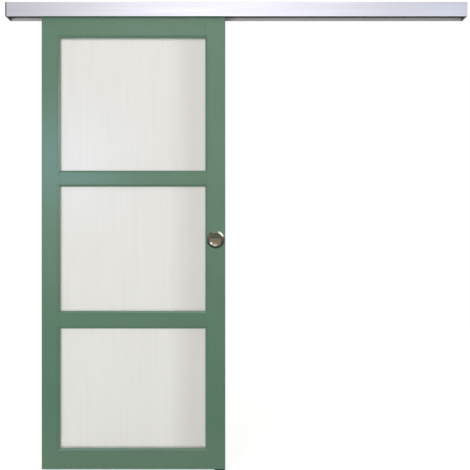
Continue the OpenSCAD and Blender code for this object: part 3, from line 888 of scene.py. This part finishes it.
@dataclass
class HangingGear:
    """Plates, bolts and trolleys between the leaf and the track."""

    screw_end_mm: float = 13.0
    screw_side_mm: float = 6.0
    head_d_mm: float = 8.0
    head_h_mm: float = 2.0
    head_sides: int = 32
    shank_d_mm: float = 4.0
    shank_mm: float = 13.0
    tip_mm: float = 6.0
    tip_taper: float = 0.1
    recess_mm: tuple[float, float, float] = (4.4, 1.0, 1.5)
    recess_taper: float = 0.45

    def cut_recess(self, screw: bpy.types.Object, top: Vector, turn: float) -> None:
        """Cuts one tapered slot of the cross recess into a screw head.

        Args:
            screw: The screw.
            top: Centre of the top of its head.
            turn: Turn of the slot about the screw.
        """
        start_piece()
        long, wide, deep = (size * MM for size in self.recess_mm)
        bpy.ops.mesh.primitive_cube_add(size=2 * deep, location=top)
        cutter = bpy.context.object
        bpy.ops.object.transform_apply(location=True)
        bpy.ops.object.mode_set(mode="EDIT")
        bpy.ops.mesh.select_all(action="SELECT")
        shape = (long / (2 * deep), wide / (2 * deep), 1.0)
        bpy.ops.transform.resize(value=shape, center_override=top)
        bpy.ops.transform.rotate(value=turn, orient_axis="Z", center_override=top)
        pick_faces(lambda face: face.normal.z < FACES_DOWN)
        taper = (self.recess_taper, self.recess_taper, 1.0)
        bpy.ops.transform.resize(value=taper, center_override=top)
        bpy.ops.object.mode_set(mode="OBJECT")
        start_piece()
        screw.select_set(True)
        bpy.context.view_layer.objects.active = screw
        cut = screw.modifiers.new("recess", "BOOLEAN")
        cut.object = cutter
        bpy.ops.object.modifier_apply(modifier=cut.name)
        bpy.data.objects.remove(cutter)

    def model_screw(self, top: Vector) -> bpy.types.Object:
        """Models a countersunk wood screw with a cross recess.

        Args:
            top: Centre of the top of its head.

        Returns:
            The screw.
        """
        start_piece()
        head_r, shank_r = self.head_d_mm / 2 * MM, self.shank_d_mm / 2 * MM
        head_h = self.head_h_mm * MM
        bpy.ops.mesh.primitive_cylinder_add(
            vertices=self.head_sides,
            radius=head_r,
            depth=head_h,
            location=top - Vector((0, 0, head_h / 2)),
        )
        screw = bpy.context.object
        bpy.ops.object.transform_apply(location=True)
        bpy.ops.object.mode_set(mode="EDIT")
        pick_faces(lambda face: face.normal.z < FACES_DOWN)
        narrow = (shank_r / head_r, shank_r / head_r, 1.0)
        bpy.ops.transform.resize(value=narrow, center_override=top)
        for length_mm in (self.shank_mm, self.tip_mm):
            down = (0, 0, -length_mm * MM)
            bpy.ops.mesh.extrude_region_move(TRANSFORM_OT_translate={"value": down})
        point = (self.tip_taper, self.tip_taper, 1.0)
        bpy.ops.transform.resize(value=point, center_override=top)
        bpy.ops.object.mode_set(mode="OBJECT")
        for turn in (math.pi / 4, -math.pi / 4):
            self.cut_recess(screw, top, turn)
        return screw

    def drive_screws(self, material: bpy.types.Material) -> None:
        """Sets four screws in each hanger plate, in place of the plain ones.

        Args:
            material: Finish of the screws.
        """
        end, side = self.screw_end_mm * MM, self.screw_side_mm * MM
        places = []
        for hand in HANDS:
            low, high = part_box(f"{hand}_hanger_plate")
            for x in (low.x + end, high.x - end):
                for y in (low.y + side, high.y - side):
                    places.append(Vector((x, y, high.z)))
        master = self.model_screw(places[0])
        for number, place in enumerate(places, 1):
            screw = copy_of(master, place - places[0])
            settle(screw, f"plate_screw_{number}", "leaf", material)
            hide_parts("hanger_plate_screws")
        bpy.data.objects.remove(master)

    def build(self) -> None:
        """Dresses the hanging gear and the wheels."""
        steel = STEEL.material()
        self.drive_screws(steel)
        dress(steel, ["hanger_nuts"])
        for hand in HANDS:
            pieces = ("hanger_plate", "hanger_bolt", "trolley_axles")
            dress(steel, [f"{hand}_{piece}" for piece in pieces])
        dress(ZINC.material(), [f"{hand}_trolley_block" for hand in HANDS])
        dress(NYLON.material(), [f"{hand}_wheel_{wheel}" for hand in HANDS for wheel in WHEELS])


@dataclass
class Pulls:
    """The round flush pulls on both faces."""

    def build(self) -> None:
        """Dresses the pulls, which share one axis."""
        low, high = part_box("front_pull")
        # The rim of the pulls carries painted shade.
        metal = RimShadedMetal(
            "polished_dark_nickel",
            "#827868",
            "#7b7162",
            0.14,
            metallic=1.0,
            drift_mm=30.0,
            grit_mm=0.5,
            grit_height_mm=0.002,
            axis=((low.x + high.x) / 2, (low.z + high.z) / 2),
        )
        dress(metal.material(), ["front_pull", "back_pull"])


@dataclass(frozen=True)
class Softbox:
    """A rectangular soft light that faces a point of the door. A small spread is a grid on it."""

    name: str
    place: tuple[float, float, float]
    aim: tuple[float, float, float]
    width: float
    height: float
    watts: float
    task: Task
    colour: str = "#ffffff"
    spread: float = 180.0

    def build(self) -> None:
        """Adds the light, which neither the camera nor the panes show."""
        bpy.ops.object.light_add(type="AREA", location=self.place)
        light = bpy.context.object
        light.name = self.name
        light.data.shape = "RECTANGLE"
        light.data.size = self.width
        light.data.size_y = self.height
        light.data.energy = self.watts
        light.data.spread = math.radians(self.spread)
        light.data.color = linear(self.colour)[:3]
        facing = Vector(self.aim) - Vector(self.place)
        light.rotation_euler = facing.to_track_quat("-Z", "Y").to_euler()
        light.visible_camera = False
        light.visible_transmission = False
        light.visible_glossy = self.task is Task.MIRROR
        light.visible_diffuse = self.task is Task.LIGHT


@dataclass(frozen=True)
class Card:
    """A flat card beside the door that only reflections show, as a flag beside a shiny object."""

    name: str
    place: tuple[float, float, float]
    tilt: tuple[float, float, float]
    width: float
    height: float
    colour: str

    def build(self) -> None:
        """Hangs the card."""
        start_piece()
        turn = tuple(math.radians(angle) for angle in self.tilt)
        bpy.ops.mesh.primitive_plane_add(size=1.0, location=self.place, rotation=turn)
        card = bpy.context.object
        card.name = self.name
        card.scale = (self.width, self.height, 1.0)
        card.visible_camera = False
        card.visible_diffuse = False
        card.visible_transmission = False
        card.visible_shadow = False
        material, tree = blank_material(self.name)
        glow = add_node(tree, "ShaderNodeEmission", {"Color": linear(self.colour)})
        add_node(tree, "ShaderNodeOutputMaterial", {}, {"Surface": glow.outputs["Emission"]})
        card.data.materials.append(material)


# Toned cards give the polished pulls their contrast, and the flag hides lamps from the cup.
CARDS = (
    Card("floor_card", (0.0, -1.65, -1.785), (-12.85, 0.0, 0.0), 4.4, 2.56, "#aac6c1"),
    Card("ceiling_card", (0.0, -0.75, 1.3), (0.0, 0.0, 0.0), 4.4, 1.9, "#9aa39c"),
    Card("left_card", (-2.2, -0.9, -0.4), (0.0, 90.0, 0.0), 3.4, 1.6, "#8e7c6c"),
    Card("right_card", (2.2, -0.9, -0.4), (0.0, 90.0, 0.0), 3.4, 1.6, "#9aa39c"),
    Card("cup_flag", (-0.092, -0.106, -1.022), (90.0, 0.0, 0.0), 0.054, 0.028, "#f3eee6"),
)
# A soft key and overhead light, and the lights that paint and metal mirror.
LAMPS = (
    Softbox("key", (-1.7, -3.2, -0.8), (-0.6, 0.0, -1.2), 1.8, 1.8, 30.0, Task.LIGHT),
    Softbox("overhead", (-0.4, -2.0, 3.0), (-0.4, -0.2, -1.5), 1.8, 1.4, 10.0, Task.LIGHT),
    Softbox(
        "fascia_panel", (-0.16, -3.0, 1.05), (-0.08, 0.0, -0.1), 2.2, 0.8, 8.0, Task.MIRROR
    ),
    Softbox(
        "window",
        (-1.54, -3.1, -0.34),
        (-0.77, 0.0, -0.68),
        0.7,
        0.5,
        8.5,
        Task.MIRROR,
        "#a9cdff",
    ),
    Softbox(
        "rim_grid", (0.67, -1.73, -0.24), PULL_POINT, 0.8, 0.8, 2.6, Task.MIRROR, "#f4f4f8", 60.0
    ),
    Softbox(
        "cup_grid", (1.19, -1.15, 0.04), PULL_POINT, 1.1, 0.7, 1.6, Task.MIRROR, "#cdddff", 60.0
    ),
    Softbox(
        "top_grid", (0.06, -1.41, 0.69), PULL_POINT, 2.2, 0.5, 1.0, Task.MIRROR, "#cdddff", 46.0
    ),
)


@dataclass
class Studio:
    """White surroundings, a pale floor, soft light and the camera of the photograph."""

    ambient: float = 0.6
    floor_size: float = 14.0
    floor_colour: str = "#cfcfcd"
    floor_glow: float = 0.63
    image_px: float = 470.0
    mm_per_px: float = 4.52
    camera_gap: float = 3.0
    camera_x: float = -0.0059
    camera_z: float = -1.0154
    sensor_mm: float = 36.0

    def seen_directly(self, tree: bpy.types.NodeTree) -> bpy.types.NodeSocket:
        """Adds a value that is 1 for what the camera, a reflection or a pane sees, else 0.

        Args:
            tree: Node tree that takes the nodes.

        Returns:
            The output socket of the value.
        """
        path = add_node(tree, "ShaderNodeLightPath")
        mirrored = add_node(
            tree,
            "ShaderNodeMath",
            {"operation": "MAXIMUM"},
            {0: path.outputs["Is Glossy Ray"], 1: path.outputs["Is Transmission Ray"]},
        )
        seen = add_node(
            tree,
            "ShaderNodeMath",
            {"operation": "MAXIMUM"},
            {0: path.outputs["Is Camera Ray"], 1: mirrored.outputs["Value"]},
        )
        return seen.outputs["Value"]

    def build_world(self) -> None:
        """Makes the white surroundings, which light the door less than they show."""
        world = bpy.data.worlds.new("white_studio")
        bpy.context.scene.world = world
        world.use_nodes = True
        tree = world.node_tree
        tree.nodes.clear()
        strength = add_node(
            tree,
            "ShaderNodeMapRange",
            {"To Min": self.ambient, "To Max": 1.0},
            {"Value": self.seen_directly(tree)},
        )
        sky = add_node(
            tree,
            "ShaderNodeBackground",
            {"Color": (1.0, 1.0, 1.0, 1.0)},
            {"Strength": strength.outputs["Result"]},
        )
        add_node(tree, "ShaderNodeOutputWorld", {}, {"Surface": sky.outputs["Background"]})

    def build_floor(self) -> None:
        """Lays the floor under the floor guide. It looks white and keeps the door's shadow."""
        start_piece()
        bpy.ops.mesh.primitive_plane_add(size=self.floor_size, location=(0, 0, CAD_BOX[0].z))
        floor = bpy.context.object
        floor.name = "floor"
        material, tree = blank_material("pale_floor")
        matt = add_node(tree, "ShaderNodeBsdfDiffuse", {"Color": linear(self.floor_colour)})
        strength = add_node(
            tree,
            "ShaderNodeMath",
            {"operation": "MULTIPLY", 1: self.floor_glow},
            {0: self.seen_directly(tree)},
        )
        glow = add_node(tree, "ShaderNodeEmission", {}, {"Strength": strength.outputs["Value"]})
        both = add_node(
            tree, "ShaderNodeAddShader", {}, {0: matt.outputs["BSDF"], 1: glow.outputs["Emission"]}
        )
        add_node(tree, "ShaderNodeOutputMaterial", {}, {"Surface": both.outputs["Shader"]})
        floor.data.materials.append(material)

    def build_camera(self) -> None:
        """Sets the camera in front of the door, at the photograph's scale on the leaf's face."""
        face_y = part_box("left_stile")[0].y
        field = self.image_px * self.mm_per_px * MM
        bpy.ops.object.camera_add(
            location=(self.camera_x, face_y - self.camera_gap, self.camera_z),
            rotation=(math.pi / 2, 0, 0),
        )
        camera = bpy.context.object
        camera.data.sensor_width = self.sensor_mm
        camera.data.lens = self.sensor_mm * self.camera_gap / field
        bpy.context.scene.camera = camera

    def build(self) -> None:
        """Builds the studio."""
        bpy.context.scene.view_settings.view_transform = "Standard"
        self.build_world()
        self.build_floor()
        for aid in (*CARDS, *LAMPS):
            aid.build()
        self.build_camera()


def main() -> None:
    """Builds each sub-assembly and the studio."""
    logging.basicConfig(level=logging.INFO, format="%(name)s: %(message)s")
    for part in (Leaf(), Pulls(), HangingGear(), Track(), Studio()):
        part.build()
        LOG.info("%s is done", type(part).__name__)


if __name__ == "__main__":
    main()
